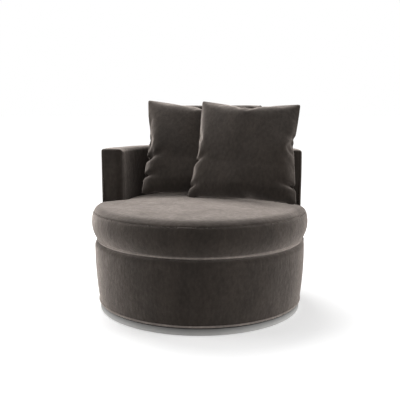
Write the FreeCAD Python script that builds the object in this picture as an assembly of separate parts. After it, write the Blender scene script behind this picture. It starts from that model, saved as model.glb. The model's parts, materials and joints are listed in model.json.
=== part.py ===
"""Cuddle chair: a round swivel armchair with a T-shaped seat cushion and two scatter cushions.

Millimetres. The swivel axis is Z, the floor is z = 0, and the chair faces -Y.
Everything soft is drawn as it sits at rest. A shape built with an inset lies that far
inside the outer surface, so a cover and what fills it come from the same outline.
"""
import FreeCAD, Part
import math
import os

os.makedirs("parts", exist_ok=True)

# Driving dimensions
seat_radius = 470.0          # top seam of the seat cushion
seat_seam_z = 429.0          # height of that seam
seat_crown = 50.0            # rise of the cushion's middle above the seam
shoulder_rise = 23.6         # part of that rise that lies in the rounded edge
border_height = 120.0        # seam to seam, down the side of the seat cushion
border_bulge = 7.0           # how far the side swells past the top seam
rear_bulge = 1.0             # the side between the arms stays nearly straight

ring_thickness = 97.0        # arms and back, over the covers
arm_height = 692.0
back_height = 887.0
back_half_angle = 38.5       # the tall back runs this far either side of the middle

drum_bulge = 16.0            # how far the drum swells past its bottom edge
plinth_height = 28.0

scatter_width = 478.0        # corner to corner, as it slumps
scatter_height = 450.0
scatter_thickness = 122.0

swivel_plate = 300.0         # square plates of the turntable
ball_diameter = 8.0

# Fits and stock
cloth = 1.5                  # thickness of the covers
soft_gap = 0.4               # between cushions and what they touch
cushion_side_gap = 3.0       # seat cushion to the inside of the arms
board = 18.0                 # plywood
panel = 3.0                  # bent plywood lining
ring_setback = 21.0          # outside of the arms and back, behind the seat cushion's seam
foot_setback = 19.5          # bottom edge of the drum, behind the same seam
plinth_setback = 3.5         # plinth behind the drum's bottom edge
seam_lift = 8.0              # bottom seam of the cushion above the deck
running_play = 0.05          # balls to their upper plate
welt = 8.0                   # diameter of the piping
strap_width, strap_thickness = 50.0, 1.6

# Worked out from the above
ring_outer = seat_radius - ring_setback
ring_inner = ring_outer - ring_thickness
rear_radius = ring_inner - cushion_side_gap
drum_bottom_radius = seat_radius - foot_setback
plinth_radius = drum_bottom_radius - plinth_setback
seat_bottom_seam_z = seat_seam_z - border_height
drum_top = seat_bottom_seam_z - seam_lift
cushion_bottom = drum_top + soft_gap
welt_z = plinth_height + welt / 2 + 5.0
welt_top = welt_z + welt / 2

glide_height = 2.0
plate_thickness = 3.0
lower_plate_z = glide_height + board
ball_z = lower_plate_z + plate_thickness + ball_diameter / 2 + running_play
upper_plate_z = ball_z + ball_diameter / 2 + running_play
base_board_z = upper_plate_z + plate_thickness
deck_ring_z = drum_top - 39.0
deck_ring_top = deck_ring_z + board

frame_in, frame_out = ring_inner + 40.0, ring_outer - 17.0   # timber inside the ring
frame_mid = (frame_in + frame_out) / 2
top_pad = 24.0                                             # foam and cover over the rails
arm_rail_top = arm_height - top_pad
back_rail_top = back_height - top_pad

AXIS = FreeCAD.Vector(0, 0, 1)
ORIGIN = FreeCAD.Vector(0, 0, 0)


# Drawing helpers
def vec(x, y, z):
    return FreeCAD.Vector(x, y, z)


def outline(start, *steps):
    """Closed face in the XZ plane; a step is (x, z) or (x, z, x, z) for an arc through a point."""
    edges, here = [], vec(start[0], 0, start[1])
    for step in list(steps) + [start]:
        end = vec(step[-2], 0, step[-1])
        if len(step) == 4:
            edges.append(Part.Arc(here, vec(step[0], 0, step[1]), end).toShape())
        elif end.distanceToPoint(here) > 1e-6:
            edges.append(Part.makeLine(here, end))
        here = end
    return Part.Face(Part.Wire(edges))


def arc_middle(start, heading, end):
    """Middle point of the arc that leaves start at an angle from +X and reaches end."""
    dx, dz = end[0] - start[0], end[1] - start[1]
    chord = math.atan2(dz, dx)
    swell = math.hypot(dx, dz) / 2 * math.tan((chord - heading) / 2)
    return ((start[0] + end[0]) / 2 + swell * math.sin(chord),
            (start[1] + end[1]) / 2 - swell * math.cos(chord))


def turned(face, first=0.0, sweep=360.0):
    """Revolve an XZ face about Z, starting at an angle measured from +X."""
    solid = face.revolve(ORIGIN, AXIS, sweep)
    solid.rotate(ORIGIN, AXIS, first)
    return solid


def tube(r_in, r_out, z0, z1, first=0.0, sweep=360.0):
    return turned(outline((r_in, z0), (r_out, z0), (r_out, z1), (r_in, z1)), first, sweep)


def disc(radius, z0, z1):
    return Part.makeCylinder(radius, z1 - z0, vec(0, 0, z0))


def block(size, centre, angle=0.0):
    """Box given by its size, its centre and a turn about the swivel axis."""
    sx, sy, sz = size
    box = Part.makeBox(sx, sy, sz, vec(centre[0] - sx / 2, centre[1] - sy / 2, centre[2] - sz / 2))
    box.rotate(ORIGIN, AXIS, angle)
    return box


def polar(radius, angle, z=0.0):
    a = math.radians(angle)
    return vec(radius * math.cos(a), radius * math.sin(a), z)


def fuse(shapes):
    shapes = list(shapes)
    return shapes[0].multiFuse(shapes[1:]).removeSplitter() if len(shapes) > 1 else shapes[0]


def bead(radius, wire_radius, z, first, sweep):
    """Length of round welt lying on a circle about Z."""
    ring = Part.Face(Part.Wire(Part.makeCircle(wire_radius, vec(radius, 0, z), vec(0, 1, 0))))
    return turned(ring, first, sweep)


def screw(head_radius, head_height, shank_radius, shank_length, at, up=True):
    """Pan-head screw; its head starts at the point given and the shank runs up or down."""
    d = vec(0, 0, 1 if up else -1)
    head = Part.makeCylinder(head_radius, head_height, at, d)
    shank = Part.makeCylinder(shank_radius, shank_length, at + d * head_height, d)
    return head.fuse(shank)


def save(name, shape, group=False):
    solids = shape.Solids
    shape = solids[0] if len(solids) == 1 and not group else Part.makeCompound(solids)
    shape.exportStep("parts/%s.step" % name)


# Base that stays on the floor
GLIDES = 6                   # in a ring, with one more under the turntable
PLATE_HOLE = swivel_plate * 0.3
RACE = swivel_plate * 0.4
BALLS = 24


def corner_screws(at_radius, z, up):
    """Two screws at each corner of a turntable plate."""
    places = [45 + 90 * i + side * 12 for i in range(4) for side in (-1, 1)]
    return [screw(4.5, 2.4, 2.0, plate_thickness + 12, polar(at_radius, a, z), up) for a in places]


def base():
    feet = [ORIGIN] + [polar(plinth_radius - 40, 360 / GLIDES * i) for i in range(GLIDES)]
    glides = [Part.makeCylinder(15, glide_height, foot) for foot in feet]
    save("floor_glides", Part.makeCompound(glides), True)
    wall = 12.0
    save("plinth_ring", tube(plinth_radius - wall, plinth_radius, glide_height, plinth_height))

    lower_screws = corner_screws(swivel_plate * 0.6, lower_plate_z + plate_thickness + 2.4, False)
    screws = Part.makeCompound(lower_screws)
    save("lower_plate_screws", screws, True)
    save("plinth_board", disc(plinth_radius - wall, glide_height, lower_plate_z).cut(screws))

    plate_mid = lower_plate_z + plate_thickness / 2
    plate = block((swivel_plate, swivel_plate, plate_thickness), (0, 0, plate_mid))
    plate = plate.cut(disc(PLATE_HOLE, 0, 60)).cut(screws)
    lip_z = lower_plate_z + plate_thickness
    half = ball_diameter / 2 + 0.3
    lips = [tube(RACE - half - 2, RACE - half, lip_z, lip_z + 1.5),
            tube(RACE + half, RACE + half + 2, lip_z, lip_z + 1.5)]
    save("swivel_lower_plate", fuse([plate] + lips))

    balls = [Part.makeSphere(ball_diameter / 2, polar(RACE, 360 / BALLS * i, ball_z - running_play))
             for i in range(BALLS)]
    save("bearing_balls", Part.makeCompound(balls), True)
    cage = tube(RACE - 12, RACE + 12, ball_z - 1, ball_z + 1)
    pocket = ball_diameter / 2 + 0.1
    holes = [Part.makeCylinder(pocket, 4, polar(RACE, 360 / BALLS * i, ball_z - 2))
             for i in range(BALLS)]
    save("bearing_cage", cage.cut(Part.makeCompound(holes)))


# Drum: boards and frame
POST = (frame_out - frame_in, 30.0)          # radial and tangential
DRUM_POSTS = 10
ARM_FIRST, ARM_LAST = 8.0, 86.5 - back_half_angle        # posts of one arm, from its front
ARM_POST_ANGLES = [side + a for side, turn in ((0, 1), (180, -1))
                   for a in (turn * ARM_FIRST, turn * (ARM_FIRST + ARM_LAST) / 2, turn * ARM_LAST)]
BACK_SPREAD = back_half_angle - 6.5
BACK_POST_ANGLES = [90 + BACK_SPREAD * part / 3 for part in (-3, -1, 1, 3)]
RING_SPAN = (3.0, 174.0)                                 # linings stop short of the arms' faces
board_radius = drum_bottom_radius - 6.5


def upright(angle, z0, z1):
    post = block((POST[0] + 10, POST[1], z1 - z0), (frame_mid, 0, (z0 + z1) / 2), angle)
    return post.common(tube(frame_in, frame_out, z0, z1))


def frame():
    upper_screws = corner_screws(swivel_plate * 0.6, base_board_z - plate_thickness - 2.4, True)
    screws = Part.makeCompound(upper_screws)
    save("upper_plate_screws", screws, True)
    plate = block((swivel_plate, swivel_plate, plate_thickness),
                  (0, 0, base_board_z - plate_thickness / 2))
    save("swivel_upper_plate", plate.cut(disc(PLATE_HOLE, 0, 60)).cut(screws))
    dust = tube(swivel_plate * 0.72, board_radius, base_board_z - 1, base_board_z)
    save("dust_cover", dust)

    top = base_board_z + board
    posts = [upright(360 / DRUM_POSTS * (i + 0.5), top, deck_ring_z) for i in range(DRUM_POSTS)]
    fixings = [screw(4.5, 3, 2.5, 42, vec(0, 0, deck_ring_z - 3) + polar(frame_mid, a), True)
               for a in ARM_POST_ANGLES + BACK_POST_ANGLES]
    fixings = Part.makeCompound(fixings)
    save("frame_screws", fixings, True)
    save("base_board", disc(board_radius, base_board_z, top).cut(screws))
    save("drum_posts", Part.makeCompound(posts).cut(fixings), True)
    save("deck_ring", tube(ring_inner - 22, board_radius, deck_ring_z, deck_ring_top).cut(fixings))
    wrap = tube(board_radius, board_radius + panel, welt_top, deck_ring_top)
    save("drum_wrap_board", wrap)

    arm_rail_z, back_rail_z = arm_rail_top - board, back_rail_top - board
    arm_posts = [upright(a, deck_ring_top, arm_rail_z) for a in ARM_POST_ANGLES]
    back_posts = [upright(a, deck_ring_top, back_rail_z) for a in BACK_POST_ANGLES]
    save("arm_posts", Part.makeCompound(arm_posts).cut(fixings), True)
    save("back_posts", Part.makeCompound(back_posts).cut(fixings), True)
    edge = 90 - back_half_angle
    rails = [tube(frame_in, frame_out, arm_rail_z, arm_rail_top, first, edge - 3)
             for first in (3, 180 - edge)]
    save("arm_rails", Part.makeCompound(rails), True)
    save("back_rail", tube(frame_in, frame_out, back_rail_z, back_rail_top, edge + 3, 174 - 2 * edge))
    for name, r in (("inside_panel", frame_in - panel), ("outside_panel", frame_out)):
        low = tube(r, r + panel, deck_ring_top, arm_rail_top, *RING_SPAN)
        high = tube(r, r + panel, arm_rail_top - 20, back_rail_top, edge + 3, 174 - 2 * edge)
        save(name, fuse([low, high]))


def frame_envelope():
    """Room that the timber of the arms and the back takes up inside the foam."""
    edge = 90 - back_half_angle
    a, b = frame_in - panel, frame_out + panel
    low = tube(a, b, deck_ring_top - 10, arm_rail_top, *RING_SPAN)
    high = tube(a, b, arm_rail_top - 20, back_rail_top, edge + 3, 174 - 2 * edge)
    return fuse([low, high])


# Seat deck
STRAP_PITCH = ring_inner / 3.2
STRAP_LINES = [STRAP_PITCH * i for i in (-2, -1, 0, 1, 2)]


def strap(offset, over_first):
    """Webbing strap along Y at x = offset, woven over and under the five that cross it."""
    low = deck_ring_top
    high = low + strap_thickness + 0.2
    reach = math.sqrt(ring_inner ** 2 - offset ** 2)
    flat = strap_width / 2 + 3
    points = [(-reach, low)]
    for i, y in enumerate(STRAP_LINES):
        z = high if (i + over_first) % 2 else low
        points += [(y - flat, z), (y + flat, z)]
    points.append((reach, low))
    under = [vec(offset - strap_width / 2, y, z) for y, z in points]
    over = [p + vec(0, 0, strap_thickness) for p in reversed(under)]
    side = Part.Face(Part.makePolygon(under + over + under[:1]))
    return side.extrude(vec(strap_width, 0, 0))


def deck():
    along = [strap(x, i) for i, x in enumerate(STRAP_LINES)]
    across = [strap(x, i + 1) for i, x in enumerate(STRAP_LINES)]
    for one in across:
        one.rotate(ORIGIN, AXIS, -90)
    save("webbing_along", Part.makeCompound(along), True)
    save("webbing_across", Part.makeCompound(across), True)
    straps_top = deck_ring_top + 2 * strap_thickness + 0.2
    front, rear = board_radius - 4, ring_inner

    def deck_layer(z0, z1, margin=0.0):
        whole = tube(0.0001, rear - margin, z0, z1) if margin else disc(rear, z0, z1)
        return fuse([whole, turned(outline((0, z0), (front, z0), (front, z1), (0, z1)), 180, 180)])

    save("deck_hessian", deck_layer(straps_top, straps_top + 1))
    save("deck_pad", deck_layer(straps_top + 1, drum_top - cloth))
    save("deck_cover", deck_layer(drum_top - cloth, drum_top))
    return straps_top + 1


# Drum upholstery
def drum_side(inset):
    """Outer line of the drum, from its bottom edge to just under its top."""
    r = drum_bottom_radius - inset
    shoulder_z = drum_top - 13.0
    middle_z = (welt_top + shoulder_z) / 2
    return (r, welt_top), (r + drum_bulge * 0.78, middle_z, r + drum_bulge - 0.7, shoulder_z)


def drum_upholstery():
    front_in = board_radius - 4
    wrap_out = board_radius + panel

    def front_profile(inset):
        start, side = drum_side(inset)
        r, top = side[-2], drum_top - inset
        round_over = (r - 3.5, top - 4.0, r - 12.5, top)
        return start, side, round_over, top

    start, side, round_over, top = front_profile(cloth)
    foam_front = outline((wrap_out, welt_top), start, side, round_over, (front_in, top),
                         (front_in, deck_ring_top), (wrap_out, deck_ring_top))
    foam_rear = outline((wrap_out, welt_top), start, side, (side[-2] - 0.4, drum_top),
                        (frame_out + panel, drum_top), (frame_out + panel, deck_ring_top),
                        (wrap_out, deck_ring_top))
    save("drum_padding", fuse([turned(foam_front, 180, 180), turned(foam_rear, 0, 180)]))

    s0, c0, r0, t0 = front_profile(0.0)
    front = outline(s0, c0, r0, (front_in, t0), (front_in, top), round_over[-2:],
                    (round_over[0], round_over[1], side[-2], side[-1]),
                    (side[0], side[1], start[0], start[1]))
    rear = outline(s0, c0, (c0[-2] - 0.4, drum_top), (side[-2] - 0.4, drum_top),
                   (side[-2], side[-1]), (side[0], side[1], start[0], start[1]))
    save("drum_cover", fuse([turned(front, 180, 180), turned(rear, 0, 180)]))
    save("drum_piping", bead(drum_bottom_radius - cloth / 2, welt / 2, welt_z, 0, 360))


# Arms and back upholstery
def ring_section(inset, top, foot):
    """Cross-section of the arm or the back, seen with the inside of the chair to the left."""
    a, b, z1 = ring_inner + inset, ring_outer - inset, top - inset
    soft, firm = 22.0 - inset, 13.0 - inset
    bend = 1 - math.sqrt(0.5)
    drum_r = drum_bottom_radius + drum_bulge - 1.1 - inset
    return outline((a, foot), (frame_mid, foot), (frame_mid, drum_top), (drum_r, drum_top),
                   (b + 5.0, drum_top + 50, b, drum_top + 110), (b, z1 - firm),
                   (b - firm * bend, z1 - firm * bend, b - firm, z1), (a + soft, z1),
                   (a + soft * bend, z1 - soft * bend, a, z1 - soft))


def ring_envelope(inset, foot):
    """Arms and tall back as one soft body; its front faces lie on the diameter y = 0."""
    trim = math.degrees(inset / ring_inner)
    arms = turned(ring_section(inset, arm_height, foot), trim, 180 - 2 * trim)
    ends = [e for e in arms.Edges if e.CenterOfMass.z > arm_height - 40 and end_edge(e, trim)]
    arms = arms.makeFillet(9.0 - inset, ends)
    edge = 90 - back_half_angle + trim
    tall = turned(tall_section(inset), edge, 180 - 2 * edge)
    corners = [e for e in tall.Edges if e.CenterOfMass.z > back_height - 60
               and abs(polar_angle(e) - 90) > 90 - edge - 1]
    tall = tall.makeFillet(9.0 - inset, corners)
    return arms.fuse(tall)


def tall_section(inset):
    a, b, z1 = ring_inner + inset, ring_outer - inset, back_height - inset
    soft, firm = 22.0 - inset, 13.0 - inset
    bend = 1 - math.sqrt(0.5)
    low = arm_height - 60
    return outline((a, low), (b, low), (b, z1 - firm),
                   (b - firm * bend, z1 - firm * bend, b - firm, z1), (a + soft, z1),
                   (a + soft * bend, z1 - soft * bend, a, z1 - soft))


def polar_angle(edge):
    c = edge.CenterOfMass
    return math.degrees(math.atan2(c.y, c.x))


def end_edge(edge, trim):
    """True for an edge of the arm's front face."""
    for v in edge.Vertexes:
        if abs(math.degrees(math.atan2(v.Point.y, abs(v.Point.x))) - trim) > 0.01:
            return False
    return True


def ring_upholstery(foot):
    outer, inner = ring_envelope(0.0, foot), ring_envelope(cloth, foot)
    cover = outer.cut(inner)
    padding = inner.cut(frame_envelope())
    split = disc(ring_outer - 13.0, 0, back_height + 50)
    save("inside_cover", cover.common(split))
    save("outside_cover", cover.cut(split))
    middle = disc(frame_mid, 0, back_height + 50)
    save("inside_padding", padding.common(middle))
    save("outside_padding", padding.cut(middle))


# Seat cushion
edge_width = 36.0            # rounded edge, from the seam to where the low dome begins
dome_drop = seat_crown - shoulder_rise
dome_radius = ((seat_radius - edge_width) ** 2 + dome_drop ** 2) / (2 * dome_drop)
ZIP_HALF_ANGLE = 36.0
zip_z = (seat_bottom_seam_z + seat_seam_z) / 2


def seat_profile(radius, bulge, inset):
    """Half section of the seat cushion: flat below, swollen side, rounded edge and low dome."""
    top = seat_seam_z + seat_crown - inset
    dome = dome_radius - inset
    r = radius - inset
    flat = (r - 32.0, cushion_bottom + inset)
    foot = (r - 13.0, seat_bottom_seam_z + inset * 0.9)
    seam = (r, seat_seam_z - inset * 0.6)

    def on_dome(at):
        return at, top - dome + math.sqrt(dome ** 2 - at ** 2)

    edge = on_dome(r - edge_width)
    shoulder = arc_middle(edge, -math.asin(edge[0] / dome), seam)
    return outline((0, flat[1]), flat, arc_middle(flat, 0.0, foot) + foot,
                   (r + bulge, zip_z) + seam, shoulder + edge,
                   on_dome(edge[0] / 2) + (0, top))


def seat_envelope(inset):
    """The T shape: a full disc in front of the arms and a smaller one between them."""
    back_face = -cushion_side_gap - inset
    behind = Part.makeBox(1200, 1200, 1200, vec(-600, back_face, 0))
    front = turned(seat_profile(seat_radius, border_bulge, inset), 90).cut(behind)
    rear = turned(seat_profile(rear_radius, rear_bulge, inset), 90).common(behind)
    recess = tube(rear_radius - 9 - inset, rear_radius + 20, zip_z - 16 - inset,
                  zip_z + 16 + inset, 90 - ZIP_HALF_ANGLE - inset / 6,
                  2 * ZIP_HALF_ANGLE + inset / 3)
    return front.fuse(rear).removeSplitter().cut(recess)


def seat_cushion():
    outer, wrap_out, foam = seat_envelope(0.0), seat_envelope(cloth), seat_envelope(16.0)
    piping = bead(seat_radius - 13.0, welt / 2, seat_bottom_seam_z, 180 + 0.5, 179)
    cover = outer.cut(wrap_out).cut(piping)
    size = 4 * seat_radius

    def layer(z0, z1):
        return cover.common(Part.makeBox(size, size, z1 - z0, vec(-size / 2, -size / 2, z0)))

    low_join, high_join = seat_bottom_seam_z + 1.0, seat_seam_z + 1.0
    save("seat_cover_bottom", layer(cushion_bottom - 5, low_join))
    save("seat_cover_border", layer(low_join, high_join))
    save("seat_cover_top", layer(high_join, seat_seam_z + seat_crown + 5))
    save("seat_cushion_wrap", wrap_out.cut(foam).cut(piping))
    save("seat_cushion_foam", foam)
    save("seat_piping", piping)

    floor = rear_radius - 9
    tape = tube(floor, floor + 0.8, zip_z - 14, zip_z + 14, 90 - ZIP_HALF_ANGLE + 1,
                2 * ZIP_HALF_ANGLE - 2)
    coil = tube(floor + 0.8, floor + 2.4, zip_z - 2.5, zip_z + 2.5, 90 - ZIP_HALF_ANGLE + 1.5,
                2 * ZIP_HALF_ANGLE - 3)
    save("seat_zip", fuse([tape, coil]))
    body = tube(floor + 2.6, floor + 5.0, zip_z - 5, zip_z + 5, 90 + ZIP_HALF_ANGLE - 5.5, 2.6)
    pull = tube(floor + 5.0, floor + 6.4, zip_z - 3.5, zip_z + 3.5, 90 + ZIP_HALF_ANGLE - 8.5, 5.0)
    save("seat_zip_slider", fuse([body, pull]))


# Scatter cushions
def pillow(inset):
    """Knife-edged square cushion standing on its lower edge; the front is -Y."""
    h, w = scatter_height, scatter_width
    half = scatter_thickness / 2
    stations = ((0.0, 1.0, 0.035), (0.05, 0.975, 0.42), (0.2, 0.945, 0.85), (0.5, 0.93, 1.0),
                (0.8, 0.945, 0.8), (0.95, 0.975, 0.36), (1.0, 1.0, 0.035))
    wires = []
    for level, wide, thick in stations:
        z = inset * 3 + level * (h - inset * 6)
        x = wide * w / 2 - inset * 4
        t = max(half * thick - inset, 0.6)
        left, right = vec(-x, 0, z), vec(x, 0, z)
        arcs = [Part.Arc(left, vec(0, -t * 1.1, z), right).toShape(),
                Part.Arc(right, vec(0, t * 0.9, z), left).toShape()]
        wires.append(Part.Wire(arcs))
    return Part.makeLoft(wires, True, False)


# Each scatter cushion: where the middle of its lower edge stands, its turn about the
# vertical, how far it leans back, and how far it is rolled in its own plane, in degrees.
# The right one stands in front of the left one, by a share of its width and thickness.
crown_z = seat_seam_z + seat_crown
left_foot = vec(-0.0838 * ring_inner, 0.1108 * ring_inner, crown_z + 7.0)
right_foot = left_foot + vec(0.4435 * scatter_width, -0.9344 * scatter_thickness, -5.0)
RIGHT_PLACE = (right_foot, -14.5, 21.0, 0.0)
LEFT_PLACE = (left_foot, 7.5, 25.5, 3.2)


def placed(shape, place):
    at, turn, lean, roll = place
    moved = shape.copy()
    moved.rotate(ORIGIN, vec(0, 1, 0), roll)
    moved.rotate(ORIGIN, vec(1, 0, 0), -lean)
    moved.rotate(ORIGIN, AXIS, turn)
    moved.translate(at)
    return moved


def scatter_cushions():
    outer, inner = pillow(0.0), pillow(cloth)
    for side, place in (("left", LEFT_PLACE), ("right", RIGHT_PLACE)):
        save("scatter_%s_cover" % side, placed(outer.cut(inner), place))
        save("scatter_%s_pad" % side, placed(inner, place))


if __name__ == "__main__":
    base()
    frame()
    foot = deck()
    drum_upholstery()
    ring_upholstery(foot)
    seat_cushion()
    scatter_cushions()
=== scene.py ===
# %% [markdown]
# # Cuddle chair
# The chair is a round swivel seat: a drum on a low plinth, a thick T-shaped seat cushion, low
# arms that run round into a taller back, and two loose scatter cushions. The rigid parts come
# from the CAD model. Everything soft is modelled again here, in metres, over the same sizes.

# %% Frame
import json
import math

import bpy
from mathutils import Matrix, Vector, noise
from mathutils.bvhtree import BVHTree


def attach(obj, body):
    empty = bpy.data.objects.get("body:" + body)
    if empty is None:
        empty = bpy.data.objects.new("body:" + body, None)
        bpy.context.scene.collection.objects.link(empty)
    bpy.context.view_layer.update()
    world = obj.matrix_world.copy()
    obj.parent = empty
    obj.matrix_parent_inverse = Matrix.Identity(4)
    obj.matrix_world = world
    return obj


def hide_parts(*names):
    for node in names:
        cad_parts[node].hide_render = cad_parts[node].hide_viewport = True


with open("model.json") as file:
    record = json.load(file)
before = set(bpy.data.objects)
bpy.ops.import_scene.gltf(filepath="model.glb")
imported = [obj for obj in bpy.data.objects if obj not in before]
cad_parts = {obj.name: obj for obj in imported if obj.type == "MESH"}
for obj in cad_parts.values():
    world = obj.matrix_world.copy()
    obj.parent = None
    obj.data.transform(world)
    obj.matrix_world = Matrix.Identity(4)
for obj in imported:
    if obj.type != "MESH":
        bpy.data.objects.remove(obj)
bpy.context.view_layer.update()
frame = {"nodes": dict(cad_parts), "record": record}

# %% [markdown]
# The sizes below repeat the driving sizes of the chair. Radii are measured from the swivel
# axis. The chair faces the -Y side, and the flat front faces of the arms lie on y = 0.

# %% Sizes
SEAT_R = 0.470               # top seam of the seat cushion
SEAM_Z = 0.429               # level of that seam
CROWN = 0.050                # middle of the seat above that seam
LOW_SEAM_Z = 0.309           # level of the lower, piped seam
BULGE = 0.0075               # swell of the border between the two seams
RING_OUT, RING_IN = 0.449, 0.352
REAR_R = RING_IN - 0.003     # the cushion between the arms
ARM_Z, BACK_Z = 0.692, 0.887
DRUM_R, DRUM_BULGE, DRUM_TOP = 0.4505, 0.016, 0.301
WELT = 0.008                 # thickness of the piping
PIPED = 0.016                # the seat's lower seam, inside its upper one
WELT_Z = 0.037               # level of the drum's piping
CLOTH = 0.0015               # thickness of the velvet
print("seat height", SEAM_Z + CROWN, "over a seat", 2 * SEAT_R, "across")

# %% [markdown]
# Operators act on whatever is selected, so every step starts with nothing selected. A profile
# is drawn the way it is drawn by hand: one point, then one extrusion for each further point.
# Spinning that line round the swivel axis gives most of the upholstery.

# %% Helpers for drawing and spinning


def clear():
    if bpy.context.mode != "OBJECT":
        bpy.ops.object.mode_set(mode="OBJECT")
    bpy.ops.object.select_all(action="DESELECT")


def pick(obj):
    clear()
    obj.select_set(True)
    bpy.context.view_layer.objects.active = obj


def edit(obj):
    """Edit mode with everything selected."""
    pick(obj)
    bpy.ops.object.mode_set(mode="EDIT")
    bpy.ops.mesh.select_all(action="SELECT")


def unselect(obj):
    """Object mode keeps selected points, edges and faces apart, so all three are cleared."""
    for part in (obj.data.vertices, obj.data.edges, obj.data.polygons):
        for element in part:
            element.select = False


def face_out():
    """Turns every face of the mesh in edit mode to the outside."""
    bpy.ops.mesh.select_all(action="SELECT")
    bpy.ops.mesh.normals_make_consistent(inside=False)


def reach_of(co):
    """Distance from the swivel axis."""
    return math.hypot(co.x, co.y)


def set_reach(v, reach):
    """Moves a point straight to another distance from the swivel axis."""
    share = reach / reach_of(v.co)
    v.co.x *= share
    v.co.y *= share


def draw(name, points):
    """Line of edges through the points, left in edit mode with its last point selected."""
    clear()
    bpy.ops.mesh.primitive_plane_add(size=0.01, location=(0, 0, 0))
    obj = bpy.context.object
    obj.name = obj.data.name = name
    bpy.ops.object.mode_set(mode="EDIT")
    bpy.ops.mesh.merge(type="CENTER")
    bpy.ops.transform.translate(value=points[0])
    for a, b in zip(points, points[1:]):
        bpy.ops.mesh.extrude_region_move(TRANSFORM_OT_translate={"value": Vector(b) - Vector(a)})
    return obj


def spin(name, profile, start=0.0, sweep=360.0, step=2.0, closed=False):
    """Spins an (r, z) line about the swivel axis; angles run from +X towards +Y.

    A closed profile is filled with a face, which closes both ends of a part turn. In a full
    turn a copy of that face stays inside the skin at every step, where it can't be seen.
    """
    a = math.radians(start)
    points = [Vector((r * math.cos(a), r * math.sin(a), z)) for r, z in profile]
    obj = draw(name, points)
    bpy.ops.mesh.select_all(action="SELECT")
    if closed:
        bpy.ops.mesh.edge_face_add()
        bpy.ops.mesh.select_all(action="SELECT")
    bpy.ops.mesh.spin(steps=round(sweep / step), angle=math.radians(sweep),
                      center=(0, 0, 0), axis=(0, 0, -1), dupli=False)
    bpy.ops.mesh.select_all(action="SELECT")
    bpy.ops.mesh.remove_doubles(threshold=2e-5)
    face_out()
    bpy.ops.object.mode_set(mode="OBJECT")
    return obj


def arc(a, through, b, count=8):
    """Points of the arc from a to b by way of a third point, without a itself."""
    (ax, ay), (mx, my), (bx, by) = a, through, b
    d = 2 * (ax * (my - by) + mx * (by - ay) + bx * (ay - my))
    if abs(d) < 1e-12:
        return [(ax + (bx - ax) * i / count, ay + (by - ay) * i / count)
                for i in range(1, count + 1)]
    sa, sm, sb = ax * ax + ay * ay, mx * mx + my * my, bx * bx + by * by
    cx = (sa * (my - by) + sm * (by - ay) + sb * (ay - my)) / d
    cy = (sa * (bx - mx) + sm * (ax - bx) + sb * (mx - ax)) / d
    r = math.hypot(ax - cx, ay - cy)
    first, mid, last = (math.atan2(y - cy, x - cx) for x, y in (a, through, b))
    turn = (last - first) % math.tau
    if (mid - first) % math.tau > turn:
        turn -= math.tau
    angles = [first + turn * i / count for i in range(1, count + 1)]
    return [(cx + r * math.cos(angle), cy + r * math.sin(angle)) for angle in angles]


def smooth(obj, angle=40.0):
    pick(obj)
    bpy.ops.object.shade_smooth_by_angle(angle=math.radians(angle))


def apply_all(obj):
    pick(obj)
    for m in list(obj.modifiers):
        bpy.ops.object.modifier_apply(modifier=m.name)


def thicken(obj, thickness=CLOTH):
    """Gives a cloth panel its thickness on the inner side and closes its edges."""
    m = obj.modifiers.new("Cloth thickness", "SOLIDIFY")
    m.thickness, m.offset = thickness, -1
    apply_all(obj)


def ruffle(obj, amount, size):
    """Slight unevenness of hand-laid padding: each point moves along its normal."""
    normals = [v.normal.copy() for v in obj.data.vertices]
    for v, n in zip(obj.data.vertices, normals):
        v.co += n * noise.noise(v.co / size) * amount
    obj.data.update()


def skin_of(obj):
    """Search tree of a closed skin, to keep fillings inside it."""
    verts = [v.co.copy() for v in obj.data.vertices]
    return BVHTree.FromPolygons(verts, [tuple(f.vertices) for f in obj.data.polygons])


def tuck(obj, skin, depth):
    """Moves every point that lies outside a skin, or just under it, to a depth below it."""
    for v in obj.data.vertices:
        at, normal = skin.find_nearest(v.co)[:2]
        if (v.co - at).dot(normal) > -depth:
            v.co = at - normal * depth
    obj.data.update()


def tell(obj):
    print(obj.name, len(obj.data.polygons), "faces",
          [round(d, 3) for d in obj.dimensions])


# %% [markdown]
# Velvet is a cut pile. Light that grazes it catches the tips of the pile, so edges and level
# surfaces turn pale while the parts that face us stay dark. The shader's sheen does this, and
# the seat's top panel is also painted paler, which is painted light. The colour drifts over
# about ten centimetres where hands have brushed the pile, and in strokes of about a centimetre.
# A grain of about a millimetre stands for the pile itself. All patterns read Object coordinates.

# %% Velvet


def link(tree, a, b):
    tree.links.new(a, b)


def node(tree, kind, **inputs):
    made = tree.nodes.new("ShaderNode" + kind)
    for name, value in inputs.items():
        made.inputs[name.replace("_", " ")].default_value = value
    return made


def shaded(name):
    mat = bpy.data.materials.new(name)
    mat.use_nodes = True
    tree = mat.node_tree
    return mat, tree, tree.nodes["Principled BSDF"], node(tree, "TexCoord")


def pattern(tree, coords, scale, stretch=(1, 1, 1), detail=3.0):
    """Noise on Object coordinates, stretched along an axis where a number is below one."""
    place = node(tree, "Mapping", Scale=stretch)
    link(tree, coords.outputs["Object"], place.inputs["Vector"])
    made = node(tree, "TexNoise", Scale=scale, Detail=detail, Roughness=0.6)
    link(tree, place.outputs["Vector"], made.inputs["Vector"])
    return made.outputs["Fac"]


def spread(tree, value, low, high, first=0.3, last=0.7):
    made = node(tree, "MapRange", From_Min=first, From_Max=last, To_Min=low, To_Max=high)
    link(tree, value, made.inputs["Value"])
    return made.outputs["Result"]


def times(tree, a, b):
    made = tree.nodes.new("ShaderNodeMath")
    made.operation = "MULTIPLY"
    link(tree, a, made.inputs[0])
    link(tree, b, made.inputs[1])
    return made.outputs["Value"]


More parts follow.
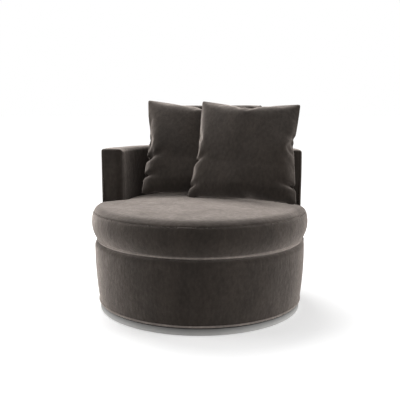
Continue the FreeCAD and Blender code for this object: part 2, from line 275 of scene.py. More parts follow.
def tinted(tree, colour, strength):
    made = tree.nodes.new("ShaderNodeVectorMath")
    made.operation = "SCALE"
    made.inputs[0].default_value = colour[:3]
    link(tree, strength, made.inputs["Scale"])
    return made.outputs["Vector"]


def bump(tree, shader, height, strength, distance, under=None):
    """Relief from a pattern, laid over another relief where one is given."""
    made = node(tree, "Bump", Strength=strength, Distance=distance)
    link(tree, height, made.inputs["Height"])
    if under is not None:
        link(tree, under, made.inputs["Normal"])
    link(tree, made.outputs["Normal"], shader.inputs["Normal"])
    return made.outputs["Normal"]


EVEN = (1, 1, 1)
HANDS, PATCHES, STROKES, NAP, GRAIN, PILE = 9.0, 13.0, 80.0, 75.0, 900.0, 1100.0
PILE_TIPS = (1.0, 0.885, 0.81)


def velvet(name, colour, sheen=1.0, brushed=0.28, lie=(1, 1, 0.6)):
    """Pile of one colour; brushed says how strong its drifts are, lie which way they run."""
    mat, tree, shader, coords = shaded(name)
    drift = spread(tree, pattern(tree, coords, HANDS, lie), 1 - brushed, 1 + brushed)
    strokes = spread(tree, pattern(tree, coords, STROKES, lie), 0.84, 1.16)
    pile = spread(tree, pattern(tree, coords, PILE, EVEN, 2.0), 0.8, 1.2)
    tone = times(tree, times(tree, drift, strokes), pile)
    link(tree, tinted(tree, colour, tone), shader.inputs["Base Color"])
    shader.inputs["Roughness"].default_value = 0.85
    shader.inputs["Specular IOR Level"].default_value = 0.12
    shader.inputs["Sheen Weight"].default_value = sheen
    shader.inputs["Sheen Roughness"].default_value = 0.45
    patches = spread(tree, pattern(tree, coords, PATCHES, lie, 4.0), 1 - brushed, 1.0)
    pale = times(tree, patches, strokes)
    link(tree, tinted(tree, PILE_TIPS, pale), shader.inputs["Sheen Tint"])
    nap = bump(tree, shader, pattern(tree, coords, NAP, lie, 4.0), 0.4, 0.003)
    bump(tree, shader, pattern(tree, coords, GRAIN, EVEN, 2.0), 0.25, 0.0006, nap)
    return mat


TAUPE = (0.0250, 0.0194, 0.0157)
PAINTED_LIGHT_TAUPE = (0.047, 0.0385, 0.0332)      # painted light: the seat's level top panel is painted paler than the upright velvet
PAINTED_HIGHLIGHT_TAUPE = (0.21, 0.182, 0.164)        # painted highlight: the piping is painted about eight times paler than the cover, for the light the cord catches
VELVET = velvet("Velvet", TAUPE, sheen=1.0)
VELVET_SEAT_PAINTED_LIGHT = velvet("Velvet.seat_painted_light", PAINTED_LIGHT_TAUPE, sheen=0.86, brushed=0.3, lie=(0.7, 1, 1))
VELVET_PIPING_PAINTED_HIGHLIGHT = velvet("Velvet.piping_painted_highlight", PAINTED_HIGHLIGHT_TAUPE, sheen=1.0)
print("velvet base colour", TAUPE)

# %% [markdown]
# Finishes that only show when the chair is opened or seen from below: plywood with its grain,
# planed softwood, zinc-plated steel, satin paint on the plinth, foam, wadding and hessian.

# %% Other finishes


def wood(name, light, dark, scale, grain):
    mat, tree, shader, coords = shaded(name)
    rings = pattern(tree, coords, scale, grain, 6.0)
    mix = node(tree, "ValToRGB")
    mix.color_ramp.elements[0].position, mix.color_ramp.elements[1].position = 0.35, 0.68
    mix.color_ramp.elements[0].color = (*dark, 1)
    mix.color_ramp.elements[1].color = (*light, 1)
    link(tree, rings, mix.inputs["Fac"])
    link(tree, mix.outputs["Color"], shader.inputs["Base Color"])
    shader.inputs["Roughness"].default_value = 0.62
    bump(tree, shader, rings, 0.12, 0.0008)
    return mat


def metal(name, colour, rough, scale):
    mat, tree, shader, coords = shaded(name)
    cloud = pattern(tree, coords, scale, (1, 1, 1), 4.0)
    link(tree, tinted(tree, colour, spread(tree, cloud, 0.85, 1.1)), shader.inputs["Base Color"])
    link(tree, spread(tree, cloud, rough * 0.8, rough * 1.3), shader.inputs["Roughness"])
    shader.inputs["Metallic"].default_value = 1.0
    return mat


def soft(name, colour, scale, depth, low=0.8, high=1.12):
    mat, tree, shader, coords = shaded(name)
    cells = pattern(tree, coords, scale, EVEN, 2.0)
    drift = spread(tree, pattern(tree, coords, 9.0), 0.92, 1.06)
    tone = times(tree, spread(tree, cells, low, high), drift)
    link(tree, tinted(tree, colour, tone), shader.inputs["Base Color"])
    shader.inputs["Roughness"].default_value = 0.9
    shader.inputs["Specular IOR Level"].default_value = 0.2
    shader.inputs["Sheen Weight"].default_value = 0.1
    bump(tree, shader, cells, 0.5, depth)
    return mat


def paint(name, colour, rough):
    """Satin paint with painted shade: its colour darkens from 6 mm above the floor to the plinth's
    top edge, which lies in the drum's shadow.
    """
    mat, tree, shader, coords = shaded(name)
    peel = pattern(tree, coords, 260.0)
    worn = pattern(tree, coords, 14.0, EVEN, 6.0)
    split = node(tree, "SeparateXYZ")
    link(tree, coords.outputs["Object"], split.inputs["Vector"])
    # painted shade: the colour falls to 22 % at the top edge, for the shadow under the drum
    painted_shade = spread(tree, split.outputs["Z"], 1.0, 0.22, first=0.006, last=0.031)
    link(tree, tinted(tree, colour, times(tree, spread(tree, worn, 0.92, 1.06), painted_shade)),
         shader.inputs["Base Color"])
    link(tree, spread(tree, worn, rough * 0.85, rough * 1.15), shader.inputs["Roughness"])
    bump(tree, shader, peel, 0.08, 0.0004)
    return mat


PLYWOOD = wood("Plywood", (0.52, 0.36, 0.20), (0.36, 0.23, 0.12), 26.0, (1, 0.12, 1))
TIMBER = wood("Timber", (0.55, 0.38, 0.20), (0.40, 0.25, 0.12), 30.0, (1, 1, 0.06))
ZINC = metal("Zinc_steel", (0.55, 0.55, 0.54), 0.36, 60.0)
BALL_STEEL = metal("Ball_steel", (0.72, 0.72, 0.72), 0.12, 30.0)
PLINTH = paint("Plinth_grey", (0.50, 0.493, 0.48), 0.5)
FOAM = soft("Foam", (0.72, 0.66, 0.46), 700.0, 0.0008)
WADDING = soft("Wadding", (0.80, 0.80, 0.77), 160.0, 0.002, 0.9, 1.05)
HESSIAN = soft("Hessian", (0.32, 0.23, 0.12), 420.0, 0.0008, 0.6, 1.2)
WEBBING = soft("Webbing", (0.10, 0.075, 0.055), 300.0, 0.0006, 0.7, 1.2)
FELT = soft("Felt", (0.06, 0.06, 0.06), 500.0, 0.0006)
DUST = soft("Dust_cloth", (0.02, 0.02, 0.02), 600.0, 0.0003)
ZIP_TAPE = soft("Zip_tape", (0.02, 0.018, 0.016), 800.0, 0.0003)
FINISHES = {"plywood": PLYWOOD, "timber": TIMBER, "zinc_steel": ZINC, "ball_steel": BALL_STEEL,
            "plinth_grey": PLINTH, "felt": FELT, "dust_cloth": DUST, "webbing": WEBBING,
            "hessian": HESSIAN, "foam": FOAM, "fibre": WADDING, "velvet": VELVET, "zip": ZIP_TAPE}
slots = {row["node"]: row["material_slot"] for row in frame["record"]["subparts"]}
for name, obj in frame["nodes"].items():
    obj.data.materials.clear()
    obj.data.materials.append(FINISHES[slots[name]])
print(len(FINISHES), "finishes on", len(slots), "CAD nodes")


def finish(obj, material, body, slot, *nodes):
    """Gives a finished piece its material, hangs it on the body it rides on and hides the CAD nodes
    it stands for.
    """
    obj.data.materials.clear()
    obj.data.materials.append(material)
    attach(obj, body)
    if nodes:
        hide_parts(*nodes)
    tell(obj)


# %% [markdown]
# The drum cover is one band of velvet pulled over thin foam. It swells a little towards the
# top, rolls inwards under the seat cushion at the front, and runs straight up into the back
# at the rear. One closed profile is spun all round, then the rear of its rolled edge is
# straightened.

# %% Drum cover
ROLL = 0.021                  # height and depth of the rolled edge
DRUM_FOOT = (DRUM_R, WELT_Z + WELT / 2)
shoulder = (DRUM_R + DRUM_BULGE - 0.0007, DRUM_TOP - ROLL)
side = arc(DRUM_FOOT, (DRUM_R + DRUM_BULGE * 0.78, 0.162), shoulder, 22)
roll_end = (shoulder[0] - ROLL, DRUM_TOP)
roll = arc(shoulder, (shoulder[0] - ROLL * 0.3, DRUM_TOP - ROLL * 0.3), roll_end, 8)
inner = [(roll_end[0] - 0.003, DRUM_TOP - 0.0002), (roll_end[0] - 0.007, DRUM_TOP - 0.0004)]
outer_line = [DRUM_FOOT] + side + roll + inner
inner_line = [(r - CLOTH, z - (CLOTH if z > shoulder[1] else 0)) for r, z in reversed(outer_line)]
drum = spin("drum_cover_velvet", outer_line + inner_line, step=2.0, closed=True)
for v in drum.data.vertices:
    behind = v.co.y > 1e-4 and v.co.z > shoulder[1]
    if behind and reach_of(v.co) > roll_end[0] - 0.001:
        set_reach(v, shoulder[0])
ruffle(drum, 0.0012, 0.11)
smooth(drum, 50)
finish(drum, VELVET, "chair", "velvet", "drum_cover")

# %% [markdown]
# Piping is a cord wrapped in a strip of the same velvet, whose colour is painted much paler
# here as a painted highlight. A small circle is spun round the chair. Where the cord stops
# short of a full turn, the circle's face closes its two ends.

# %% Drum piping


def welt(name, radius, z, start, sweep, step=1.5):
    half = WELT / 2
    turns = [math.tau * i / 12 for i in range(12)]
    circle = [(radius + half * math.cos(turn), z + half * math.sin(turn)) for turn in turns]
    obj = spin(name, circle, start, sweep, step, closed=True)
    smooth(obj, 60)
    return obj


drum_welt = welt("drum_piping_velvet", DRUM_R - 0.00075, WELT_Z, 0, 360)
finish(drum_welt, VELVET_PIPING_PAINTED_HIGHLIGHT, "chair", "velvet", "drum_piping")

# %% [markdown]
# The seat cushion is T-shaped: a full round in front of the arms and a smaller one between
# them. Two spun solids are merged by a voxel remesh, which also rounds the ears. Three panels
# are then cut apart at the seams, and every seam edge is turned in, as sewn edges are.

# %% Seat cushion body
SHOULDER_IN, SHOULDER_UP = 0.036, 0.0236   # the crown begins inside and above the top seam
FLAT_IN = 0.034                # the flat bottom ends this far inside the top seam
ARM_GAP = 0.003                # the ears end this far before the arms' flat faces
LAP = 0.004                    # the rear round reaches this far into the front one
CELL = 0.005
HALVES = (("front", SEAT_R, BULGE), ("rear", REAR_R, 0.001))


def seat_line(radius, bulge):
    """Half section of the cushion from the middle of its flat bottom to the middle of its crown."""
    top = SEAM_Z + CROWN
    drop = CROWN - SHOULDER_UP
    dome = ((SEAT_R - SHOULDER_IN) ** 2 + drop ** 2) / (2 * drop)
    low = DRUM_TOP + 0.0004
    flat, foot, seam = (radius - FLAT_IN, low), (radius - PIPED, LOW_SEAM_Z), (radius, SEAM_Z)

    def on_dome(at):
        return at, top - dome + math.sqrt(dome * dome - at * at)

    edge = on_dome(radius - SHOULDER_IN)
    slope = -math.asin(edge[0] / dome)
    dx, dz = seam[0] - edge[0], seam[1] - edge[1]
    chord = math.atan2(dz, dx)
    swell = math.hypot(dx, dz) / 2 * math.tan((chord - slope) / 2)
    bend = ((edge[0] + seam[0]) / 2 + swell * math.sin(chord),
            (edge[1] + seam[1]) / 2 - swell * math.cos(chord))
    line = [(0, low), (radius / 2, low), flat]
    line += arc(flat, (radius - PIPED - 0.008, low + 0.0022), foot, 4)
    line += arc(foot, (radius + bulge, (LOW_SEAM_Z + SEAM_Z) / 2), seam, 12)
    line += arc(edge, bend, seam, 6)[-2::-1] + [edge]
    line += [on_dome(edge[0] * (1 - i / 12)) for i in range(1, 13)]
    return line


def seat_body(name):
    """Front round and rear round, cut at the arms' faces and merged into one skin."""
    halves = []
    for part, radius, bulge in HALVES:
        front = part == "front"
        cut = -ARM_GAP if front else -ARM_GAP - LAP
        obj = spin(name + "_" + part, seat_line(radius, bulge))
        edit(obj)
        bpy.ops.mesh.bisect(plane_co=(0, cut, 0), plane_no=(0, 1, 0), use_fill=True,
                            clear_outer=front, clear_inner=not front)
        clear()
        halves.append(obj)
    pick(halves[0])
    halves[1].select_set(True)
    bpy.ops.object.join()
    obj = bpy.context.object
    obj.name = obj.data.name = name
    obj.data.remesh_voxel_size = CELL
    pick(obj)
    bpy.ops.object.voxel_remesh()
    edit(obj)
    bpy.ops.mesh.vertices_smooth(factor=0.5, repeat=6)
    clear()
    return obj


body = seat_body("seat_cover")
tell(body)

# %% [markdown]
# The skin is parted at the two seam levels into a top panel, a border and a bottom panel. Each
# cut edge is turned in, so that a seam is a dark valley between two full edges, and each panel
# then gets the thickness of the cloth.

# %% Seat panels
OVERLAP = 0.0003               # the turned edges meet, so that nothing shows between them
TURN_WIDTH, TURN_DEPTH = 0.008, 0.0055

def keep_between(source, name, low, high):
    """Copy of the part of a closed skin that lies between two levels."""
    pick(source)
    bpy.ops.object.duplicate()
    obj = bpy.context.object
    obj.name = obj.data.name = name
    edit(obj)
    for z, above in ((low, False), (high, True)):
        if z is None:
            continue
        bpy.ops.mesh.select_all(action="SELECT")
        bpy.ops.mesh.bisect(plane_co=(0, 0, z), plane_no=(0, 0, 1), use_fill=False,
                            clear_outer=above, clear_inner=not above)
    clear()
    return obj


def turn_in(obj, z, up):
    """Rolls the sewn edge at level z inwards, so that a seam is a narrow valley."""
    for v in obj.data.vertices:
        away = (v.co.z - z) * up
        if -1e-5 <= away < TURN_WIDTH:
            share = (1 - max(away, 0) / TURN_WIDTH) ** 2.5
            flat = Vector((v.co.x, v.co.y, 0))
            n = Vector((v.normal.x, v.normal.y, 0))
            if flat.length > 0.2 and n.length > 0.3:
                v.co -= n.normalized() * TURN_DEPTH * share
    obj.data.update()


# The top panel takes the paler velvet, which is painted light.
panels = {"seat_top_velvet": (SEAM_Z - OVERLAP, None, "seat_cover_top", VELVET_SEAT_PAINTED_LIGHT),
          "seat_border_velvet": (LOW_SEAM_Z - OVERLAP, SEAM_Z + OVERLAP, "seat_cover_border", VELVET),
          "seat_bottom_velvet": (None, LOW_SEAM_Z + OVERLAP, "seat_cover_bottom", VELVET)}
for name, (low, high, node_name, mat) in panels.items():
    obj = keep_between(body, name, low, high)
    if low is not None:
        turn_in(obj, low, 1)
    if high is not None:
        turn_in(obj, high, -1)
    thicken(obj)
    smooth(obj, 60)
    finish(obj, mat, "seat_cushion", "velvet", node_name)
seat_skin = skin_of(body)
bpy.data.objects.remove(body)
seat_welt = welt("seat_piping_velvet", SEAT_R - PIPED, LOW_SEAM_Z, 180.5, 179)
finish(seat_welt, VELVET_PIPING_PAINTED_HIGHLIGHT, "seat_cushion", "velvet", "seat_piping")

# %% [markdown]
# The arms and the back are one padded horseshoe. Its cross-section is spun through half a
# turn with wide steps, the top faces of the middle stretch are extruded up to make the tall
# back, and weighted bevels round the edges: wide on the sitter's side, narrow outside. A
# subdivision makes the curve even. The cover is then parted along the seam near the outer edge.

# %% Arms and back
STEPS = 42                     # steps of the half turn; the tall back starts at an even step
BACK_FIRST, BACK_LAST = 12, 30
SEAM_R = RING_OUT - 0.013
BESIDE_SEAM = SEAM_R - 0.004   # a second line of edges, just inside the seam
FRAME_MID = 0.412
FOOT_Z = 0.2845
WALL_FOOT = DRUM_TOP + 0.110   # below this the outside slopes out to the drum's edge
DRUM_EDGE = DRUM_R + DRUM_BULGE - 0.0011
WIDEST, OUTSIDE = 0.022, 0.012           # radii of the long edges: the sitter's side, outside
FRONT_IN, FRONT_OUT = 0.020, 0.010       # radii of the upright edges at the arms' front faces
BACK_TOP, BACK_SIDE = 0.020, 0.011       # radii at the two ends of the tall back
FRONT_ROUND = 0.032            # final radius of the arms' inner front edges
GROOVE_DEPTH, GROOVE_HALF = 0.0008, 0.005


def angle_of(co):
    return math.degrees(math.atan2(co.y, co.x))


def back_angle(step):
    return 180.0 / STEPS * step


def near(value, target, within=0.0006):
    return abs(value - target) < within


def at_back_end(angle):
    return any(near(angle, back_angle(step), 0.2) for step in (BACK_FIRST, BACK_LAST))


def both_at(a, b, reach):
    return near(reach_of(a), reach) and near(reach_of(b), reach)


def cut_fronts(obj):
    """Cuts the flat front faces of both arms along the seam, and once more beside it."""
    pick(obj)
    for r in (BESIDE_SEAM, SEAM_R):
        for side_sign in (1, -1):
            unselect(obj)
            for v in obj.data.vertices:
                on_line = near(v.co.y, 0, 1e-4) and near(v.co.x * side_sign, r, 1e-4)
                at_end = near(v.co.z, ARM_Z, 1e-4) or near(v.co.z, DRUM_TOP, 1e-4)
                v.select = on_line and at_end
            bpy.ops.object.mode_set(mode="EDIT")
            bpy.ops.mesh.vert_connect_path()
            bpy.ops.object.mode_set(mode="OBJECT")


def horseshoe(name):
    """Section of the arms spun through half a turn, with the tall back drawn up out of it."""
    slope = arc((RING_OUT, WALL_FOOT), (RING_OUT + 0.005, DRUM_TOP + 0.050), (DRUM_EDGE, DRUM_TOP), 5)
    line = [(RING_IN, FOOT_Z), (RING_IN, 0.40), (RING_IN, 0.55), (RING_IN, ARM_Z),
            (BESIDE_SEAM, ARM_Z), (SEAM_R, ARM_Z), (RING_OUT, ARM_Z), (RING_OUT, 0.56),
            (RING_OUT, WALL_FOOT)]
    line += slope + [(SEAM_R, DRUM_TOP), (BESIDE_SEAM, DRUM_TOP), (FRAME_MID, DRUM_TOP),
                     (FRAME_MID, FOOT_Z)]
    obj = spin(name, line, 0, 180, 180.0 / STEPS, closed=True)
    cut_fronts(obj)
    edit(obj)
    face_out()
    bpy.ops.object.mode_set(mode="OBJECT")
    unselect(obj)
    first, last = back_angle(BACK_FIRST), back_angle(BACK_LAST)
    for f in obj.data.polygons:
        on_top = f.normal.z > 0.9 and f.center.z > ARM_Z - 0.001
        f.select = on_top and first < angle_of(f.center) < last
    bpy.ops.object.mode_set(mode="EDIT")
    bpy.ops.mesh.extrude_region_move(TRANSFORM_OT_translate={"value": (0, 0, BACK_Z - ARM_Z)})
    bpy.ops.object.mode_set(mode="OBJECT")
    return obj


def edge_radius(a, b):
    """Bevel radius of the edge between two points; zero leaves the edge as it is."""
    mid = (a + b) / 2
    angle = angle_of(mid)
    level = near(a.z, b.z)
    under_back = back_angle(BACK_FIRST) + 0.1 < angle < back_angle(BACK_LAST) - 0.1
    sitter, outer = both_at(a, b, RING_IN), both_at(a, b, RING_OUT)
    choices = ()
    if level and near(a.z, BACK_Z):
        choices = ((sitter, WIDEST), (outer, OUTSIDE), (at_back_end(angle), BACK_TOP))
    elif level and near(a.z, ARM_Z) and not under_back:
        choices = ((sitter, WIDEST), (outer, OUTSIDE), (near(mid.y, 0), OUTSIDE))
    elif not level and near(a.y, 0) and near(b.y, 0):
        beyond_seam = min(reach_of(a), reach_of(b)) > SEAM_R + 0.005
        choices = ((sitter, FRONT_IN), (beyond_seam, FRONT_OUT))
    elif not level and mid.z > ARM_Z + 0.02:
        choices = ((at_back_end(angle), BACK_SIDE),)
    return next((radius for fits, radius in choices if fits), 0.0)


def weigh_edges(obj):
    """Writes each edge's radius as a share of the widest, and creases the edges that stay sharp."""
    weights = obj.data.attributes.new("bevel_weight_edge", "FLOAT", "EDGE")
    crease = obj.data.attributes.new("crease_edge", "FLOAT", "EDGE")
    for e in obj.data.edges:
        a, b = (obj.data.vertices[i].co for i in e.vertices)
        weights.data[e.index].value = edge_radius(a, b) / WIDEST
        back_foot = near(a.z, ARM_Z) and at_back_end(angle_of((a + b) / 2))
        drum_edge = near(a.z, DRUM_TOP) and both_at(a, b, DRUM_EDGE)
        if near(a.z, b.z) and (back_foot or drum_edge):
            crease.data[e.index].value = 1.0


def round_fronts(obj):
    """Moves the points beyond a quarter circle onto it, at the arms' inner front edges."""
    for v in obj.data.vertices:
        to_side, to_front = FRONT_ROUND - (reach_of(v.co) - RING_IN), FRONT_ROUND - v.co.y
        off = math.hypot(to_side, to_front)
        if to_side > 0 and to_front > 0 and off > FRONT_ROUND:
            v.co.x = math.copysign(RING_IN + FRONT_ROUND - to_side * FRONT_ROUND / off, v.co.x)
            v.co.y = FRONT_ROUND - to_front * FRONT_ROUND / off
    obj.data.update()


def press_seam(obj):
    """Presses a shallow groove along the seam between the inside and outside covers."""
    for v in obj.data.vertices:
        gap = abs(reach_of(v.co) - SEAM_R)
        if gap < GROOVE_HALF and v.co.z > DRUM_TOP + 0.02:
            v.co -= v.normal * GROOVE_DEPTH * (1 - gap / GROOVE_HALF) ** 2
    obj.data.update()


ring = horseshoe("horseshoe")
weigh_edges(ring)
m = ring.modifiers.new("Rounded edges", "BEVEL")
m.limit_method, m.width, m.segments = "WEIGHT", WIDEST, 5
m.use_clamp_overlap = False
apply_all(ring)
m = ring.modifiers.new("Even curve", "SUBSURF")
m.levels = m.render_levels = 2
apply_all(ring)
edit(ring)
face_out()
clear()
round_fronts(ring)
ruffle(ring, 0.0016, 0.13)
press_seam(ring)
tell(ring)
ring_skin = skin_of(ring)

# %% [markdown]
# The covers of the inside and the outside are the same skin, parted along the seam near the
# outer edge. Duplicating the whole and deleting what belongs to the other keeps both edges
# exactly together.

# %% Inside and outside covers
pick(ring)
bpy.ops.object.duplicate()
outside = bpy.context.object
ring.name = ring.data.name = "inside_cover_velvet"
outside.name = outside.data.name = "outside_cover_velvet"
for obj, inside in ((ring, True), (outside, False)):
    unselect(obj)
    for f in obj.data.polygons:
        f.select = (reach_of(f.center) > SEAM_R) == inside
    pick(obj)
    bpy.ops.object.mode_set(mode="EDIT")
    bpy.ops.mesh.select_mode(type="FACE")
    bpy.ops.mesh.delete(type="FACE")
    bpy.ops.mesh.select_mode(type="VERT")
    clear()
    thicken(obj)
    smooth(obj, 60)
finish(ring, VELVET, "chair", "velvet", "inside_cover")
finish(outside, VELVET, "chair", "velvet", "outside_cover")

# %% [markdown]
# Each scatter cushion is two squares of velvet sewn round the edge and filled with feather.
# A cloth simulation blows up a flat case with a little pressure, which draws the sides in and
# puckers the seam. Corners and folds are then drawn where they lie on this chair, and the
# case is leaned into its place.

# %% Scatter cushions
SCATTER_W, SCATTER_H = 0.478, 0.450
EASE = 1.012                   # the flat case is a little larger, because it draws in
SHEETS = 0.004                 # gap between the two flat sheets
FULLER = 1.08                  # the feather pushes the middle out a little more than air does
CORNER, BLUNT = 0.018, 0.22    # a corner's radius, and how much of its tip stays beyond it
COLUMN = 0.012                 # width of the columns in which the lowest point is looked for
PAD_WIDE, PAD_DEEP = 0.90, 0.86    # the filled pad, as a share of its cover
PLACES = {"right": (Vector((0.1825, -0.075, 0.481)), -14.5, 21.0, 0.0),
          "left": (Vector((-0.0295, 0.039, 0.486)), 7.5, 25.5, 3.2)}


def case(name, cells=56, frames=24, pressure=2.6):
    clear()
    bpy.ops.mesh.primitive_grid_add(x_subdivisions=cells, y_subdivisions=cells, size=1.0)
    obj = bpy.context.object
    obj.name = obj.data.name = name
    bpy.ops.object.mode_set(mode="EDIT")
    bpy.ops.mesh.select_all(action="SELECT")
    bpy.ops.transform.resize(value=(SCATTER_W * EASE, SCATTER_H * EASE, 1))
    bpy.ops.mesh.duplicate_move(TRANSFORM_OT_translate={"value": (0, 0, SHEETS)})
    bpy.ops.mesh.select_all(action="DESELECT")
    bpy.ops.mesh.select_non_manifold(extend=False, use_wire=False, use_boundary=True,
                                     use_multi_face=False, use_non_contiguous=False,
                                     use_verts=False)
    bpy.ops.mesh.bridge_edge_loops()
    face_out()
    clear()
    pick(obj)
    cloth = obj.modifiers.new("Case", "CLOTH")
    s = cloth.settings
    s.quality, s.mass, s.air_damping = 6, 0.4, 3
    s.tension_stiffness = s.compression_stiffness = 25
    s.shear_stiffness, s.bending_stiffness = 10, 1.5
    s.use_pressure, s.uniform_pressure_force = True, pressure
    s.effector_weights.gravity = 0
    cloth.point_cache.frame_start, cloth.point_cache.frame_end = 1, frames
    for f in range(1, frames + 1):
        bpy.context.scene.frame_set(f)
    bpy.ops.object.modifier_apply(modifier="Case")
    bpy.context.scene.frame_set(1)
    return obj


def stand_up(obj):
    """Turns the flat case upright: its width along X, its height along Z from zero."""
    for v in obj.data.vertices:
        x, y, z = v.co
        v.co = Vector((x, -(z - SHEETS / 2), y + SCATTER_H / 2))
    obj.data.update()
    edit(obj)
    face_out()
    clear()


def settle(obj):
    """Straightens the lower edge, on which the cushion stands, and blunts the four corners."""
    lowest = {}
    for v in obj.data.vertices:
        key = round(v.co.x / COLUMN)
        lowest[key] = min(lowest.get(key, 1.0), v.co.z)
    for v in obj.data.vertices:
        lift = lowest[round(v.co.x / COLUMN)]
        low = max(0.0, 1 - v.co.z / (0.35 * SCATTER_H))
        v.co.z -= lift * low ** 2
        swell = low * max(0.0, 1 - abs(2 * v.co.x / SCATTER_W) ** 4)
        if abs(v.co.y) > 0.003:
            v.co.y += math.copysign(0.016 * swell * (1 - low), v.co.y)
    for v in obj.data.vertices:
        v.co.y *= FULLER
    pick(obj)
    unselect(obj)
    for v in obj.data.vertices:
        v.select = v.co.z < 0.055 and abs(v.co.x) < 0.42 * SCATTER_W
    bpy.ops.object.mode_set(mode="EDIT")
    bpy.ops.mesh.vertices_smooth(factor=0.5, repeat=14)
    clear()
    half_w, half_h = SCATTER_W / 2, SCATTER_H / 2
    for v in obj.data.vertices:
        dx = abs(v.co.x) - (half_w - CORNER)
        dz = abs(v.co.z - half_h) - (half_h - CORNER)
        reach = math.hypot(dx, dz)
        if dx > 0 and dz > 0 and reach > CORNER:
            limit = CORNER * (1 + BLUNT * (reach / CORNER - 1))
            v.co.x -= math.copysign(dx * (1 - limit / reach), v.co.x)
            v.co.z -= math.copysign(dz * (1 - limit / reach), v.co.z - half_h)
    obj.data.update()


def lean(obj, place):
    """Turns the case about Z, leans it back, rolls it, and moves it to its place."""
    at, turn, back, roll = place
    turned = Matrix.Rotation(math.radians(turn), 4, "Z")
    leaned = Matrix.Rotation(math.radians(-back), 4, "X")
    rolled = Matrix.Rotation(math.radians(roll), 4, "Y")
    obj.data.transform(Matrix.Translation(at) @ turned @ leaned @ rolled)
    obj.data.update()


def shape_case(obj, corners, pulls):
    """Draws the corners of a standing case to where they are and folds its sides.

    A pull starts at a point of the case's face and says which way, how deep, how long and
    how wide its fold is.
    """
    for v in obj.data.vertices:
        u, w = v.co.x / SCATTER_W + 0.5, v.co.z / SCATTER_H
        shift = Vector((0, 0))
        for corner, across, up in (("bl", 1 - u, 1 - w), ("br", u, 1 - w),
                                   ("tl", 1 - u, w), ("tr", u, w)):
            shift += Vector(corners[corner]) * across * up
        v.co.x += shift.x
        v.co.z += shift.y
    for (px, pz), (dx, dz), depth, length, width in pulls:
        towards = Vector((dx, dz)).normalized()
        for v in obj.data.vertices:
            off = Vector((v.co.x - px, v.co.z - pz))
            along, across = off.dot(towards), off.dot(Vector((-towards.y, towards.x)))
            if -0.03 < along < length:
                share = (1 - max(along, 0) / length) ** 1.5
                fold = math.exp(-(across / (width * (0.6 + max(along, 0) / length))) ** 2)
                v.co.x += towards.x * depth * share * fold * 0.6
                v.co.z += towards.y * depth * share * fold * 0.6
                if abs(v.co.y) > 0.006:
                    v.co.y -= math.copysign(depth * share * fold * 0.8, v.co.y)
    obj.data.update()


SHAPES = {
    "right": ({"tl": (0.004, 0.006), "tr": (-0.014, -0.012),
               "bl": (-0.008, -0.003), "br": (0.010, -0.010)},
              [((-0.03, 0.447), (-0.35, -1), 0.020, 0.06, 0.012),
               ((0.225, 0.275), (-1, 0.1), 0.018, 0.05, 0.012),
               ((0.225, 0.065), (-1, 0.25), 0.026, 0.09, 0.012),
               ((-0.225, 0.16), (1, 0.45), 0.026, 0.09, 0.013),
               ((-0.225, 0.05), (1, 0.3), 0.018, 0.05, 0.012)]),
    "left": ({"tl": (-0.004, 0.010), "tr": (-0.010, 0.002),
              "bl": (-0.002, -0.009), "br": (0.0, -0.002)},
             [((-0.235, 0.29), (1, 0.0), 0.013, 0.05, 0.080),
              ((-0.225, 0.155), (1, 0.35), 0.028, 0.10, 0.013),
              ((-0.225, 0.075), (1, 0.12), 0.022, 0.07, 0.012),
              ((0.02, 0.447), (0.2, -1), 0.016, 0.05, 0.012)]),
}
for side_name in ("left", "right"):
    cushion = case("scatter_%s_velvet" % side_name)
    if side_name == "right":
        for v in cushion.data.vertices:
            v.co.y = -v.co.y
    stand_up(cushion)
    settle(cushion)
    pick(cushion)
    bpy.ops.object.duplicate()
    filling = bpy.context.object
    filling.name = filling.data.name = "scatter_%s_filling" % side_name
    for v in filling.data.vertices:
        up = SCATTER_H / 2 + (v.co.z - SCATTER_H / 2) * PAD_WIDE
        v.co = Vector((v.co.x * PAD_WIDE, v.co.y * PAD_DEEP, up))
    shape_case(cushion, *SHAPES[side_name])
    lean(cushion, PLACES[side_name])
    lean(filling, PLACES[side_name])
    m = cushion.modifiers.new("Smooth cloth", "SUBSURF")
    m.levels = m.render_levels = 1
    apply_all(cushion)
    smooth(cushion, 180)
    finish(cushion, VELVET, "scatter_" + side_name, "velvet", "scatter_%s_cover" % side_name)
    smooth(filling, 180)
    finish(filling, WADDING, "scatter_" + side_name, "fibre", "scatter_%s_pad" % side_name)

# %% [markdown]
# The layers under the covers only show when the chair is taken apart. Each is a cleaned copy
# of its CAD solid with its own finish, so that foam looks like foam and webbing like webbing.
# The foam of the arms, back and drum and the seat's wadding are drawn in a few millimetres,
# so that they stay under their covers.

# %% Layers under the covers
LAYERS = {"deck_cover": ("deck_cloth", VELVET), "deck_pad": ("deck_foam", FOAM),
          "deck_hessian": ("deck_hessian_cloth", HESSIAN), "drum_padding": ("drum_foam", FOAM),
          "inside_padding": ("inside_foam", FOAM), "outside_padding": ("outside_foam", FOAM),
          "seat_cushion_foam": ("seat_foam", FOAM), "seat_cushion_wrap": ("seat_wadding", WADDING),
          "webbing_along": ("webbing_lengthwise", WEBBING),
          "webbing_across": ("webbing_crosswise", WEBBING),
          "dust_cover": ("dust_cloth_disc", DUST), "seat_zip": ("seat_zip_tape", ZIP_TAPE)}
WADDING_DEPTH, FOAM_DEPTH = 0.010, 0.006     # below the skin
TUCKED = {"seat_cushion_wrap": (seat_skin, WADDING_DEPTH),
          "inside_padding": (ring_skin, FOAM_DEPTH), "outside_padding": (ring_skin, FOAM_DEPTH)}
LONG = 0.030                   # longer edges are halved
MARGIN = 0.009                 # of the arms' and back's foam, inside the horseshoe's faces


